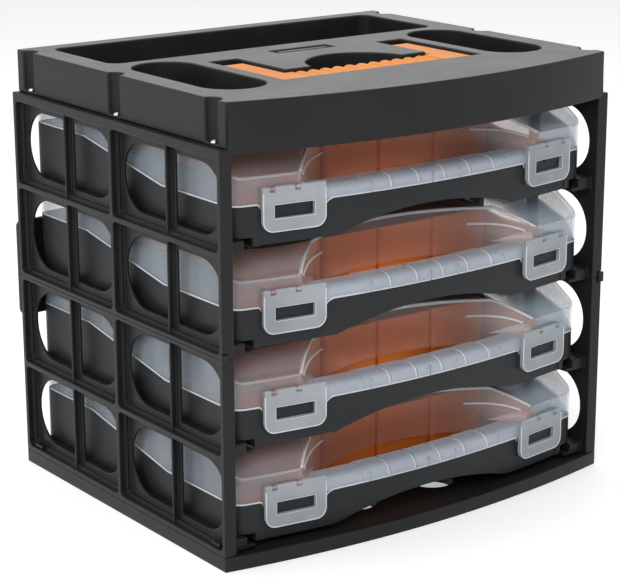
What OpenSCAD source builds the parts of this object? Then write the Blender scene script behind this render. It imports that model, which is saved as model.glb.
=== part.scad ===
// Rack of four pull-out assortment cases under a carrying tray.
// X runs to the right, Y to the back and Z up. The floor is at zero height.

/* [Base plate] */
// Height of the base plate
base_t = 12; // [11:0.5:18]
// How far the front edge of the base bows forward
base_bow = 20; // [12:1:30]
// Wall of the skirt and thickness of the deck
base_wall = 3; // [2:0.1:4]
// How far the deck lies below the rim
deck_sink = 2; // [1:0.1:3]
// Radius of the round openings in the deck
deck_hole_r = 19; // [10:0.5:19.5]
// Sideways distance of those openings from the middle
deck_hole_x = 42; // [30:1:70]
// Fore and aft distance of those openings from the middle
deck_hole_y = 118; // [90:1:122]
// Fore and aft distance of the snap hooks from the middle
hook_y = 140; // [120:1:142]

/* [Side panels] */
// Width across the side panels
rack_w = 400; // [392:1:440]
// Depth of the side panels
rack_d = 314; // [308:1:350]
// Thickness of a side panel over its ribs
panel_t = 11; // [10:0.5:14]
// Thickness of the skin behind the ribs
skin_t = 2.5; // [1.5:0.1:3]
// Thickness of the main ribs
rib_t = 4.4; // [4:0.1:6]
// Thickness of the rib on each side of the seam
seam_rib_t = 3.2; // [2.8:0.1:5]
// Thickness of the flange along the top
top_flange_t = 7.5; // [7.3:0.1:12]
// Corner radius of a cell
cell_r = 4; // [2:0.5:8]
// Width of the step around the floor of a cell
shoulder_w = 2.5; // [1:0.1:4]
// Height of that step above the skin
shoulder_h = 3; // [1:0.1:4]
// Skin left at the ends of a window
window_end_gap = 3.2; // [2:0.1:10]
// Skin left above and below a window
window_side_gap = 4.8; // [2:0.1:10]
// Width of the strip of skin that crosses a window
strip_w = 12; // [8:0.5:20]
// Thickness of the rib on that strip
cell_rib_t = 2.4; // [1.5:0.1:4]
// Height of that rib above the skin
cell_rib_h = 5; // [3:0.1:6]

/* [Runners and joints of the rack] */
// Width of a runner over its flange
rail_w = 22; // [18:0.5:26]
// Width of the top of a runner
rail_top_w = 14.5; // [12:0.5:17]
// Thickness of the flange of a runner
rail_flange_t = 3; // [2:0.1:4]
// Height of a runner
rail_h = 10; // [8:0.5:14]
// Wall of a runner
rail_wall = 3; // [2:0.1:4]
// How far a runner above the lowest reaches below its row
rail_sink = 2; // [0.5:0.1:3]
// Setback of a runner from the front and rear edges of the panel
rail_setback = 6; // [5:0.5:12]
// Radius of the pegs in the seam
peg_r = 2.2; // [1.5:0.1:3]
// Width of a seam clip
clip_w = 6; // [4:0.1:8]
// Height of a seam clip
clip_h = 9.2; // [8:0.1:14]
// How far a seam clip stands out of the front of the post
clip_proud = 2; // [1:0.1:3]
// How far a seam clip stands out of the side of the post
clip_over = 1.3; // [0.5:0.1:2]
// Height of the rear brace
brace_h = 86; // [60:1:100]
// How far the middle of the rear brace lies above the seam
brace_rise = 5; // [0:0.5:6]
// Room around the hinges of a case in the rear brace
hinge_room = 2.5; // [1.5:0.1:4]
// Thickness of the rear brace
brace_t = 4.5; // [3.5:0.1:6]

/* [Case] */
// Height of a case
case_h = 71; // [68:0.5:90]
// Gap between a case and the inside of a side panel
side_gap = 7; // [5:0.5:9]
// Setback of the front corners of a case from the front of the rack
front_setback = 11.5; // [8:0.5:20]
// Setback of the rear wall of a case from the rear of the rack
rear_setback = 2; // [1.5:0.5:24]
// How far the front of a case bows forward
case_bow = 18; // [14:0.5:22]
// Corner radius of a case in plan
corner_r = 12; // [6:0.5:16]
// Wall of the base of a case
case_wall = 2.5; // [1.8:0.1:3]
// Floor of the base of a case
floor_t = 2.5; // [1.8:0.1:4]
// Height of the step under the sides that rests on the runners
step_h = 7; // [5:0.5:9]
// Width of that step
step_w = 17; // [14:0.5:18]
// Height of the parting line at the rear
part_rear = 52.5; // [48:0.5:54]
// Height of the parting line at the front corners
part_front = 31.5; // [31:0.5:35]
// Height of the parting line on the grip
part_grip = 30; // [28:0.5:31]
// Level stretch of the parting line at the rear
part_level = 85; // [40:1:100]
// Length of the slope of the parting line
part_slope = 118; // [60:1:130]
// Height of the dividers in the base
divider_h = 30; // [15:0.5:32]
// Thickness of those dividers
divider_t = 1.6; // [1.2:0.1:2.5]
// Half width of the stretch of the front that is set back
relief_half = 158; // [150:1:166]
// How far it is set back
relief_d = 0.8; // [0.4:0.1:1.2]

/* [Grip] */
// Radius of the scoop behind the grip
scoop_r = 167; // [145:1:172]
// Reach of the scoop behind the middle of the front
scoop_depth = 63; // [56:0.5:66]
// Height of the low wall of the base around the scoop
scoop_wall_h = 20; // [12:0.5:24]
// Half width of that low stretch
scoop_low_half = 96; // [60:1:98]
// Depth of the grip bar
grip_d = 20; // [17:0.5:24]
// Height of the top of the grip bar
grip_top = 41; // [39:0.5:44]
// Rounding along the front of the grip bar
grip_r = 8; // [5:0.5:8.5]
// Half width of the arch under the grip bar
arch_half = 92; // [70:1:94]
// Height of that arch
arch_h = 14; // [8:0.5:16]
// Number of finger pads on the grip bar
pads = 5; // [3:1:5]
// Pitch of the finger pads
pad_pitch = 27; // [22:0.5:28]
// Width of a finger pad
pad_w = 24.5; // [16:0.5:25]
// How far a finger pad stands out
pad_proud = 0.9; // [0.5:0.1:1.2]
// Thickness of the ribs inside the grip bar
grip_rib_t = 1.4; // [1:0.1:2]

/* [Lid] */
// Wall of the lid
lid_wall = 2; // [1.5:0.1:2.5]
// Height of the crease along the front of the lid
crease_z = 54; // [50:0.5:62]
// Length of the slope from that crease to the top of the lid
slope_run = 28; // [15:0.5:30]
// Distance of the hinges from the middle
hinge_x = 110; // [80:1:140]
// Length of the middle knuckle of a hinge
knuckle_len = 16; // [10:0.5:20]
// Length of an outer knuckle of a hinge
ear_len = 10; // [6:0.5:14]
// Radius of the hinge knuckles
knuckle_r = 3.3; // [2.8:0.1:3.3]
// Radius of the hinge pins
hinge_pin_r = 1.5; // [1:0.1:1.8]

/* [Latches] */
// Distance of a latch from the middle, along the front
latch_x = 131.5; // [129:0.5:134]
// Width of a latch
latch_w = 55; // [50:0.5:60]
// Height of the lower edge of a latch
latch_low = 10.3; // [8:0.1:14]
// Height of the pivot of a latch
latch_axis_z = 44; // [42:0.1:44.5]
// Thickness of a latch
latch_t = 4; // [3.6:0.1:5]
// Gap between a latch and the front of the case
latch_gap = 0.6; // [0.5:0.05:1]
// Rounding of the lower corners of a latch
latch_corner_r = 9; // [4:0.5:12]
// Width of the window in a latch
latch_win_w = 35; // [30:0.5:36]
// Height of the window in a latch
latch_win_h = 10.7; // [8:0.1:11.5]
// Place of the inner hinge lug of a latch, outward from its middle
lug_in = -3; // [-5:0.5:2]
// Place of the outer hinge lug of a latch, outward from its middle
lug_out = 19; // [14:0.5:20]
// Width of a hinge lug
lug_w = 4; // [3:0.1:8]
// Radius of a latch pin
latch_pin_r = 0.9; // [0.7:0.05:1]

/* [Bins] */
// Pitch of the front bins across a case
bin_pitch = 59; // [54:0.5:59.5]
// Depth of a front bin
bin_depth = 78; // [60:1:100]
// Height of the rim of the bins above the bottom of the case
bin_top = 60; // [45:0.5:64]
// Wall of a bin
bin_wall = 1.5; // [1:0.1:2]
// Gap between neighbouring bins
bin_gap = 1.5; // [1:0.1:3]
// Corner radius of a bin
bin_r = 4; // [3:0.5:8]

/* [Tray] */
// Height of the tray
tray_h = 36; // [34:0.5:44]
// Setback of the tray from the outside of the side panels
tray_inset = 6; // [5:0.5:7]
// How far the front of the tray bows forward
tray_bow = 27; // [20:1:34]
// Outer wall of the tray
tray_wall = 3; // [2:0.1:4]
// Thickness of the top of the tray and of the walls of its pockets
tray_skin = 2.5; // [2:0.1:3]
// How far the front of the tray hangs below the panels
apron_drop = 4; // [2:0.5:6]
// Half width of the rear compartment
bay_half = 170; // [150:1:174]
// Length of the rear compartment from front to rear
bay_len = 100; // [80:1:104]
// Margin behind the rear compartment
bay_margin = 17; // [12:0.5:20]
// Depth of the rear compartment
bay_deep = 28; // [15:0.5:30]
// Corner radius of the rear compartment
bay_r = 10; // [6:0.5:14]
// Distance of a pill-shaped compartment from the middle
pill_x = 144; // [140:0.5:148]
// Width of a pill-shaped compartment
pill_w = 56; // [46:0.5:60]
// Length of a pill-shaped compartment
pill_len = 147; // [120:1:150]
// Depth of a pill-shaped compartment
pill_deep = 24; // [12:0.5:28]
// Web between the rear compartment and those in front of it
bay_web = 12; // [8:0.5:16]
// Radius of the screw grooves in the side walls
groove_r = 8.5; // [6:0.1:9]
// Distance of the outer grooves from the middle of the depth
groove_y = 138; // [110:1:140]
// Floor under a screw groove
groove_floor = 2.5; // [2:0.1:4]

/* [Handle] */
// Half width of the handle
handle_half = 99; // [90:0.5:101]
// Width of a leg of the handle
leg_w = 23; // [16:0.5:25]
// Thickness of the handle
handle_t = 14; // [10:0.5:15]
// Distance of the handle's pivot behind the front of the side panels
pivot_from_front = 144; // [140:0.5:147]
// Distance from the pivot to the front of the grip
handle_reach = 88.5; // [75:0.5:90]
// Width of the grip from front to rear
handle_grip_w = 32.5; // [24:0.5:34]
// How far the handle lies below the top of the tray
handle_sink = 2; // [1:0.1:4]
// Radius of the handle's pivot pins
pivot_r = 2.5; // [2:0.1:3]
// Number of the ridges across the grip
ridges = 11; // [5:2:11]
// Pitch of those ridges
ridge_pitch = 12.4; // [8:0.1:12.8]
// Height of those ridges
ridge_h = 1.6; // [0.8:0.1:2]
// Half width of the finger scoop behind the grip
finger_half = 47; // [35:0.5:52]
// Length of that scoop from front to rear
finger_len = 40; // [25:0.5:42]

/* [Screws] */
// Radius of a screw's shank
screw_r = 1.5; // [1.2:0.1:1.8]
// Radius of a screw's head
screw_head_r = 2.8; // [2.4:0.1:3]
// Height of a screw's head
screw_head_h = 2; // [1.5:0.1:2.4]

/* [Clearances] */
// Gap between a case and its runners
slide_gap = 0.3; // [0.25:0.05:0.5]
// Air between a lid and the runner above it
head_room = 6.7; // [5.3:0.1:9]
// Radial clearance of a pin in a piece that turns
turn_fit = 0.05; // [0.02:0.01:0.09]
// Radial clearance of a pin or screw in a piece that it holds
seat_fit = 0.02; // [0.01:0.01:0.05]
// Gap between neighbouring knuckles
knuckle_gap = 0.4; // [0.3:0.05:0.6]
// Gap between the grip bar of the lid and the front of the base beside it
rim_gap = 0.3; // [0.2:0.05:0.6]
// Gap between the grip bar of the lid and that of the base
part_gap = 0.1; // [0.05:0.05:0.3]
// Play around clips, hooks and pegs
snap_fit = 0.15; // [0.1:0.05:0.25]

/* [Hidden] */
$fn = 64;
bow_fn = 720;
rows = 4;
rows_per_panel = 2;
// How far a cutting shape runs past the face that it cuts
cut = 1;
// How far two parts of one solid run into each other
fuse = 0.5;

rack_color = "#2c2d2e";
case_color = "#363b3e";
lid_color = [0.76, 0.79, 0.82, 0.5];
bin_color = "#c96a35";
handle_color = "#f0922e";
steel_color = "#b8bcc0";

// Radius of an arc that rises by sag over a half chord
function bow_radius(half, sag) = (half * half + sag * sag) / (2 * sag);

// Rows
panel_in = rack_w / 2 - panel_t;
panel_mid = rack_w / 2 - panel_t / 2;
front_y = -rack_d / 2;
rear_y = rack_d / 2;
row_pitch = case_h + head_room + rail_h + slide_gap - step_h;
function row_z(k) = base_t + (k - 1) * row_pitch;
function rail_low(k) = row_z(k) - (k == 1 ? 0 : rail_sink);
function rail_top(k) = rail_low(k) + rail_h;
function case_z(k) = rail_top(k) + slide_gap - step_h;
seam_z = row_z(1 + rows_per_panel);
brace_z = seam_z + brace_rise;
clip_x0 = rack_w / 2 + clip_over - clip_w;
clip_slot = 1.5;
stud_r = 1.2;
stud_len = 2.2;
stud_inset = 2;
panel_top = row_z(1 + rows);

// Plan of a case
case_hw = panel_in - side_gap;
case_y0 = front_y + front_setback;
case_y1 = rear_y - rear_setback;
case_r = bow_radius(case_hw, case_bow);
case_cy = case_y0 - case_bow + case_r;
corner_x = case_hw - corner_r;
corner_y = case_cy - sqrt(pow(case_r - corner_r, 2) - corner_x * corner_x);
bow_half_angle = 2 + atan(case_hw / (case_cy - case_y1));
scoop_cy = case_y0 - case_bow + scoop_depth - scoop_r;
part_y1 = case_y1 - part_level;
part_y0 = part_y1 - part_slope;
step_x = case_hw - step_w;
arch_r = bow_radius(arch_half, arch_h);

// Hinges and latches of a case
hinge_y = case_y1 + knuckle_r + 0.7;
hinge_len = knuckle_len + 2 * (ear_len + knuckle_gap);
latch_angle = asin(latch_x / case_r);
latch_axis_y = -latch_gap - latch_t / 2;
latch_barrel_r = latch_t / 2;
latch_win_z = part_front - latch_win_h;
lug_r = latch_barrel_r - 0.1;
lug_notch = latch_barrel_r + 0.6;
catch_h = 2;
catch_top_gap = 0.5;
catch_in = 4;
catch_proud = latch_gap + latch_t * 0.65;

// Bins
bin_front = scoop_cy + scoop_r + case_wall + bin_gap;
bin_zone = 2 * bin_pitch;

// Tray and handle
tray_hw = rack_w / 2 - tray_inset;
tray_z = panel_top;
bay_y1 = rear_y - bay_margin;
bay_y0 = bay_y1 - bay_len;
pill_y1 = bay_y0 - bay_web;
pill_y0 = pill_y1 - pill_len;
groove_x = tray_hw - 2.5;
pivot_y = front_y + pivot_from_front;
pivot_z = tray_h - handle_sink - handle_t / 2;
leg_in = handle_half - leg_w;
handle_y0 = pivot_y - handle_reach;
handle_y1 = handle_y0 + handle_grip_w;
handle_gap = 2.5;
channel_y1 = pivot_y + handle_t / 2 + handle_gap + 5;
channel_floor = tray_h - handle_sink - handle_t - 1;
finger_floor = 9;
finger_r = bow_radius(finger_half, finger_len);
pin_reach = 9;
tray_screw_in = top_flange_t - 0.5;

// Rounded rectangle between two corners
module round_rect(x0, y0, x1, y1, r) {
    translate([x0 + r, y0]) square([x1 - x0 - 2 * r, y1 - y0]);
    translate([x0, y0 + r]) square([x1 - x0, y1 - y0 - 2 * r]);
    for (x = [x0 + r, x1 - r])
        for (y = [y0 + r, y1 - r])
            translate([x, y]) circle(r);
}

// Sheet drawn in Y and Z, thick from x0 to x1
module yz_sheet(x0, x1) {
    rotate([90, 0, 90]) translate([0, 0, x0]) linear_extrude(x1 - x0) children();
}

// Rod along X
module x_rod(x0, x1, r) {
    translate([x0, 0, 0]) rotate([0, 90, 0]) cylinder(r = r, h = x1 - x0);
}

// Rectangle with a bowed front edge
module bowed_plan(half, y0, y1, bow, inset = 0) {
    r = bow_radius(half, bow);
    intersection() {
        translate([inset - half, y0 - bow]) square([2 * (half - inset), y1 - y0 + bow - inset]);
        translate([0, y0 - bow + r]) circle(r - inset, $fn = bow_fn);
    }
}

module both_sides() {
    children();
    mirror([1, 0, 0]) children();
}

// Base plate

module base_outline(inset = 0) {
    bowed_plan(rack_w / 2, front_y, rear_y, base_bow, inset);
}

module base_hook() {
    stem_t = 3;
    head_h = 3;
    head_reach = 5;
    hook_w = 12;
    under = base_t + rib_t + 2 * snap_fit;
    translate([panel_mid - stem_t / 2, -hook_w / 2, base_t - fuse])
        cube([stem_t, hook_w, under + head_h - base_t + fuse]);
    translate([panel_mid - stem_t / 2, -hook_w / 2, under])
        cube([head_reach, hook_w, head_h]);
}

module base_hook_room() {
    stem_t = 3;
    head_h = 3;
    head_reach = 5;
    hook_w = 12;
    x0 = panel_mid - stem_t / 2 - snap_fit;
    translate([x0, -hook_w / 2 - snap_fit, base_t - cut])
        cube([stem_t + 2 * snap_fit, hook_w + 2 * snap_fit, rib_t + 2 * cut]);
    translate([x0, -hook_w / 2 - snap_fit, base_t + rib_t])
        cube([head_reach + 2 * snap_fit, hook_w + 2 * snap_fit, head_h + 4 * snap_fit]);
}

module base_plate() {
    deck_top = base_t - deck_sink;
    rim = 4;
    foot_r = 14;
    color(rack_color) union() {
        difference() {
            linear_extrude(base_t) base_outline();
            translate([0, 0, deck_top]) linear_extrude(deck_sink + cut) intersection() {
                base_outline(rim);
                translate([-panel_in, front_y - base_bow]) square([2 * panel_in, rack_d + base_bow]);
            }
            difference() {
                translate([0, 0, -cut]) linear_extrude(deck_top - base_wall + cut) base_outline(base_wall);
                translate([-base_wall / 2, front_y - base_bow, -cut]) cube([base_wall, rack_d + base_bow, base_t]);
                translate([-rack_w / 2, -base_wall / 2, -cut]) cube([rack_w, base_wall, base_t]);
                both_sides() translate([panel_in - base_wall, front_y, -cut]) cube([base_wall, rack_d, base_t]);
                translate([0, 0, -cut]) cylinder(r = foot_r, h = base_t);
                for (x = [-deck_hole_x, deck_hole_x])
                    for (y = [-deck_hole_y, deck_hole_y])
                        translate([x, y, -cut]) cylinder(r = deck_hole_r + base_wall, h = base_t);
            }
            for (x = [-deck_hole_x, deck_hole_x])
                for (y = [-deck_hole_y, deck_hole_y])
                    translate([x, y, -cut]) cylinder(r = deck_hole_r, h = base_t + 2 * cut);
        }
        both_sides()
            for (y = [-hook_y, hook_y])
                translate([0, y, 0]) base_hook();
    }
}

// Side panels

function cell_z(first_row, i, low_rib, high_rib) = [
    row_z(first_row) + (i == 0 ? low_rib : row_pitch + rib_t / 2),
    row_z(first_row) + (i == 0 ? row_pitch - rib_t / 2 : rows_per_panel * row_pitch - high_rib)];

function cell_y(column) = column == 0 ? [front_y + rib_t, -rib_t / 2] : [rib_t / 2, rear_y - rib_t];

module cell_window(y, z) {
    y0 = y[0] + shoulder_w + window_end_gap;
    y1 = y[1] - shoulder_w - window_end_gap;
    z0 = z[0] + shoulder_w + window_side_gap;
    z1 = z[1] - shoulder_w - window_side_gap;
    end_r = (z1 - z0) / 2 - 0.5;
    difference() {
        round_rect(y0, z0, y1, z1, end_r);
        translate([(y0 + y1 - strip_w) / 2, z0 - cut]) square([strip_w, z1 - z0 + 2 * cut]);
    }
}

module cell_cut(y, z) {
    w = shoulder_w;
    yz_sheet(panel_in + skin_t + shoulder_h, rack_w / 2 + cut) round_rect(y[0], z[0], y[1], z[1], cell_r);
    yz_sheet(panel_in + skin_t, rack_w / 2)
        round_rect(y[0] + w, z[0] + w, y[1] - w, z[1] - w, cell_r);
    yz_sheet(panel_in - cut, rack_w / 2) cell_window(y, z);
}

module cell_rib(y, z) {
    yz_sheet(panel_in + fuse, panel_in + skin_t + cell_rib_h)
        translate([(y[0] + y[1] - cell_rib_t) / 2, z[0] - fuse])
            square([cell_rib_t, z[1] - z[0] + 2 * fuse]);
}

module runner(k, panel_z0) {
    y0 = front_y + rail_setback;
    y1 = rear_y - rail_setback;
    z0 = rail_low(k);
    z1 = rail_top(k);
    root = max(z0, panel_z0);
    difference() {
        union() {
            translate([panel_in - rail_w, y0, z0]) cube([rail_w, y1 - y0, rail_flange_t]);
            translate([panel_in - rail_top_w, y0, z0]) cube([rail_top_w, y1 - y0, z1 - z0]);
            translate([panel_in - fuse, y0, root]) cube([2 * fuse, y1 - y0, z1 - root]);
        }
        translate([panel_in - rail_top_w + rail_wall, y0 + rail_wall, z0 - cut])
            cube([rail_top_w - rail_wall - fuse, y1 - y0 - 2 * rail_wall, z1 - z0 - rail_wall + cut]);
    }
}

module seam_clip_slot() {
    translate([clip_x0 - snap_fit, front_y - cut, seam_z - clip_h / 2 - snap_fit])
        cube([clip_w + 2 * snap_fit, clip_slot + cut, clip_h + 2 * snap_fit]);
    for (z = [-clip_h / 4, clip_h / 4])
        translate([clip_x0 + stud_inset, front_y, seam_z + z])
            rotate([-90, 0, 0]) cylinder(r = stud_r + seat_fit, h = clip_slot + stud_len + snap_fit);
}

module side_panel(first_row) {
    z0 = row_z(first_row);
    z1 = row_z(first_row + rows_per_panel);
    is_top = first_row > 1;
    low_rib = is_top ? seam_rib_t : rib_t;
    high_rib = is_top ? top_flange_t : seam_rib_t;
    peg_h = 2.6;
    color(rack_color) difference() {
        union() {
            difference() {
                yz_sheet(panel_in, rack_w / 2) translate([front_y, z0]) square([rack_d, z1 - z0]);
                for (i = [0, 1])
                    for (column = [0, 1])
                        cell_cut(cell_y(column), cell_z(first_row, i, low_rib, high_rib));
            }
            for (i = [0, 1])
                for (column = [0, 1])
                    cell_rib(cell_y(column), cell_z(first_row, i, low_rib, high_rib));
            for (k = [first_row : first_row + rows_per_panel - 1])
                runner(k, z0);
            if (!is_top)
                for (y = [-rack_d / 4, rack_d / 4])
                    translate([panel_mid, y, z1 - fuse]) cylinder(r = peg_r, h = peg_h + fuse);
        }
        seam_clip_slot();
        for (z = [brace_z - brace_h / 4, brace_z + brace_h / 4])
            translate([panel_mid, rear_y - rib_t + 0.4, z])
                rotate([-90, 0, 0]) cylinder(r = screw_r + seat_fit, h = rib_t);
        if (is_top) {
            for (y = [-rack_d / 4, rack_d / 4])
                translate([panel_mid, y, z0 - cut]) cylinder(r = peg_r + snap_fit, h = peg_h + snap_fit + cut);
            for (y = [-groove_y, 0, groove_y])
                translate([groove_x, y, z1 - tray_screw_in - 0.2])
                    cylinder(r = screw_r + seat_fit, h = top_flange_t);
        } else {
            for (y = [-hook_y, hook_y])
                translate([0, y, 0]) base_hook_room();
        }
    }
}

module right_lower_panel() side_panel(1);
module right_upper_panel() side_panel(1 + rows_per_panel);
module left_lower_panel() mirror([1, 0, 0]) side_panel(1);
module left_upper_panel() mirror([1, 0, 0]) side_panel(1 + rows_per_panel);

module seam_clips() {
    color(rack_color) both_sides() union() {
        translate([clip_x0, front_y - clip_proud, seam_z - clip_h / 2])
            cube([clip_w, clip_proud + clip_slot, clip_h]);
        for (z = [-clip_h / 4, clip_h / 4])
            translate([clip_x0 + stud_inset, front_y + clip_slot - fuse, seam_z + z])
                rotate([-90, 0, 0]) cylinder(r = stud_r, h = stud_len + fuse);
    }
}

// Rear brace

module brace_outline(inset) {
    round_rect(inset - rack_w / 2, brace_z - brace_h / 2 + inset, rack_w / 2 - inset,
        brace_z + brace_h / 2 - inset, 6);
}

// Opening in the brace that a hinge of a case reaches into
module brace_opening() {
    w = hinge_len + 2 * hinge_room;
    h = 2 * (knuckle_r + hinge_room);
    translate([-w / 2, -cut, -h / 2]) cube([w, brace_t + 2 * cut, h]);
}

module rear_brace() {
    brace_rim = panel_t;
    brace_skin = 2.5;
    color(rack_color) difference() {
        translate([0, rear_y + brace_t, 0]) rotate([90, 0, 0]) linear_extrude(brace_t) brace_outline(0);
        translate([0, rear_y + brace_t - brace_skin, 0]) rotate([90, 0, 0])
            linear_extrude(brace_t) brace_outline(brace_rim);
        for (x = [-panel_mid, panel_mid])
            for (z = [-brace_h / 4, brace_h / 4])
                translate([x, rear_y - cut, brace_z + z]) rotate([-90, 0, 0])
                    cylinder(r = screw_r + seat_fit, h = brace_t + 2 * cut);
        for (k = [1 : rows])
            for (x = [-hinge_x, hinge_x])
                translate([x, rear_y, case_z(k) + part_rear]) brace_opening();
    }
}

module brace_screws() {
    color(steel_color)
        for (x = [-panel_mid, panel_mid])
            for (z = [-brace_h / 4, brace_h / 4])
                translate([x, rear_y + brace_t, brace_z + z]) union() {
                    rotate([-90, 0, 0]) cylinder(r = screw_head_r, h = screw_head_h);
                    rotate([90, 0, 0]) cylinder(r = screw_r, h = brace_t + rib_t - 0.8);
                }
}

// Tray

module tray_outline(inset = 0) {
    bowed_plan(tray_hw, front_y, rear_y, tray_bow, inset);
}

module bay_plan(grow) {
    round_rect(-bay_half - grow, bay_y0 - grow, bay_half + grow, bay_y1 + grow, bay_r + grow);
}

module pill_plan(grow) {
    round_rect(pill_x - pill_w / 2 - grow, pill_y0 - grow, pill_x + pill_w / 2 + grow, pill_y1 + grow,
        pill_w / 2 + grow - 0.5);
}

module channel_plan(grow) {
    x_in = leg_in - handle_gap - grow;
    x_out = handle_half + handle_gap + grow;
    both_sides() translate([x_in, handle_y0 - handle_gap - grow])
        square([x_out - x_in, channel_y1 - handle_y0 + handle_gap + 2 * grow]);
    translate([-x_out, handle_y0 - handle_gap - grow])
        square([2 * x_out, handle_grip_w + 2 * handle_gap + 2 * grow]);
}

module finger_plan(grow) {
    intersection() {
        translate([0, handle_y1 + handle_gap + finger_len - finger_r]) circle(finger_r + grow);
        translate([-finger_half - grow - cut, handle_y1 - grow])
            square([2 * (finger_half + grow + cut), finger_len + handle_gap + 2 * grow + cut]);
    }
}

// Slot with a low tongue behind the finger scoop
module tray_slot() {
    slot_half = 30;
    slot_len = 14;
    slot_deep = 2;
    slot_from_bay = 23;
    tongue_gap = 4;
    translate([0, bay_y0 - slot_from_bay - slot_len, tray_h - slot_deep]) difference() {
        translate([-slot_half, 0, 0]) cube([2 * slot_half, slot_len, slot_deep + cut]);
        translate([tongue_gap - slot_half, tongue_gap, -cut])
            cube([2 * (slot_half - tongue_gap), slot_len - 2 * tongue_gap, slot_deep + cut / 2]);
    }
}

module top_tray() {
    pocket_top = tray_h + cut;
    color(rack_color) translate([0, 0, tray_z]) difference() {
        union() {
            linear_extrude(tray_h) tray_outline();
            translate([0, 0, -apron_drop]) linear_extrude(apron_drop + fuse) difference() {
                intersection() {
                    tray_outline();
                    translate([-tray_hw, front_y - tray_bow]) square([2 * tray_hw, tray_bow - snap_fit]);
                }
                tray_outline(tray_wall);
            }
        }
        difference() {
            translate([0, 0, -cut]) linear_extrude(tray_h - tray_skin + cut) tray_outline(tray_wall);
            translate([0, 0, tray_h - bay_deep - tray_skin]) linear_extrude(tray_h) bay_plan(tray_skin);
            both_sides() translate([0, 0, tray_h - pill_deep - tray_skin])
                linear_extrude(tray_h) pill_plan(tray_skin);
            translate([0, 0, channel_floor - tray_skin]) linear_extrude(tray_h) channel_plan(tray_skin);
            translate([0, 0, finger_floor - tray_skin]) linear_extrude(tray_h) finger_plan(tray_skin);
            both_sides() {
                for (y = [-groove_y, 0, groove_y])
                    translate([tray_hw, y, -cut]) cylinder(r = groove_r + tray_skin, h = tray_h);
                for (x = [leg_in - handle_gap - pin_reach, handle_half + handle_gap])
                    translate([x, pivot_y - handle_t / 2, channel_floor - tray_skin])
                        cube([pin_reach, handle_t, tray_h]);
            }
        }
        translate([0, 0, tray_h - bay_deep]) linear_extrude(pocket_top) bay_plan(0);
        both_sides() {
            translate([0, 0, tray_h - pill_deep]) linear_extrude(pocket_top) pill_plan(0);
            for (y = [-groove_y, 0, groove_y]) {
                translate([tray_hw, y, groove_floor]) cylinder(r = groove_r, h = pocket_top);
                translate([groove_x, y, -cut]) cylinder(r = screw_r + seat_fit, h = groove_floor + 2 * cut);
            }
            translate([0, pivot_y, pivot_z])
                x_rod(leg_in - handle_gap - pin_reach + 1.5, handle_half + handle_gap + pin_reach - 1.5,
                    pivot_r + seat_fit);
        }
        translate([0, 0, channel_floor]) linear_extrude(pocket_top) channel_plan(0);
        translate([0, 0, finger_floor]) linear_extrude(pocket_top) finger_plan(0);
        tray_slot();
    }
}

module tray_screws() {
    color(steel_color) translate([0, 0, tray_z + groove_floor]) both_sides()
        for (y = [-groove_y, 0, groove_y])
            translate([groove_x, y, 0]) union() {
                cylinder(r = screw_head_r, h = screw_head_h);
                translate([0, 0, -groove_floor - tray_screw_in])
                    cylinder(r = screw_r, h = groove_floor + tray_screw_in + fuse);
            }
}

module handle_pins() {
    color(steel_color) translate([0, pivot_y, tray_z + pivot_z]) both_sides()
        x_rod(leg_in - handle_gap - pin_reach + 1.6, handle_half + handle_gap + pin_reach - 1.6, pivot_r);
}

// Handle

// Row of humps along X, closed below at the given depth
module ridge_row(top, low) {
    arc_r = bow_radius(ridge_pitch / 2, ridge_h);
    ridge_half = ridges * ridge_pitch / 2;
    for (i = [0 : ridges - 1])
        translate([(i - (ridges - 1) / 2) * ridge_pitch, top]) intersection() {
            translate([0, -arc_r]) circle(arc_r);
            translate([-ridge_pitch / 2, low - top]) square([ridge_pitch, top - low]);
        }
    for (x = [-handle_half, ridge_half])
        translate([x, low]) square([handle_half - ridge_half, top - low]);
}

module handle_grip(z0) {
    corner = 8;
    intersection() {
        translate([0, handle_y1, 0]) rotate([90, 0, 0]) linear_extrude(handle_grip_w) ridge_row(z0 + handle_t, z0);
        translate([0, 0, z0]) linear_extrude(handle_t) ridge_row(handle_y1, handle_y0);
        translate([0, 0, z0]) linear_extrude(handle_t)
            round_rect(-handle_half, handle_y0, handle_half, handle_y1 + corner, corner);
    }
}

module carry_handle() {
    z0 = pivot_z - handle_t / 2;
    color(handle_color) translate([0, 0, tray_z]) difference() {
        union() {
            both_sides() yz_sheet(leg_in, handle_half) {
                translate([pivot_y, pivot_z]) circle(handle_t / 2);
                translate([handle_y0 + handle_grip_w / 2, z0])
                    square([handle_reach - handle_grip_w / 2, handle_t]);
            }
            handle_grip(z0);
        }
        both_sides() translate([0, pivot_y, pivot_z])
            x_rod(leg_in - cut, handle_half + cut, pivot_r + turn_fit);
    }
}

// Shapes shared by the base and the lid of a case

module case_plan(inset = 0) {
    reach = (case_r + 2 * case_bow + corner_r) / (case_r - corner_r);
    far_y = case_cy + (corner_y - case_cy) * reach;
    rear_corner_y = case_y1 - corner_r;
    intersection() {
        translate([0, case_cy]) circle(case_r - inset, $fn = bow_fn);
        polygon([[-corner_x, corner_y], [-corner_x * reach, far_y], [corner_x * reach, far_y],
            [corner_x, corner_y]]);
    }
    translate([inset - case_hw, corner_y]) square([2 * (case_hw - inset), rear_corner_y - corner_y]);
    translate([-corner_x, corner_y]) square([2 * corner_x, case_y1 - inset - corner_y]);
    for (x = [-corner_x, corner_x])
        for (y = [corner_y, rear_corner_y])
            translate([x, y]) circle(corner_r - inset);
}

module scoop_plan(grow = 0) {
    translate([0, scoop_cy]) circle(scoop_r + grow, $fn = bow_fn);
}

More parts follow.
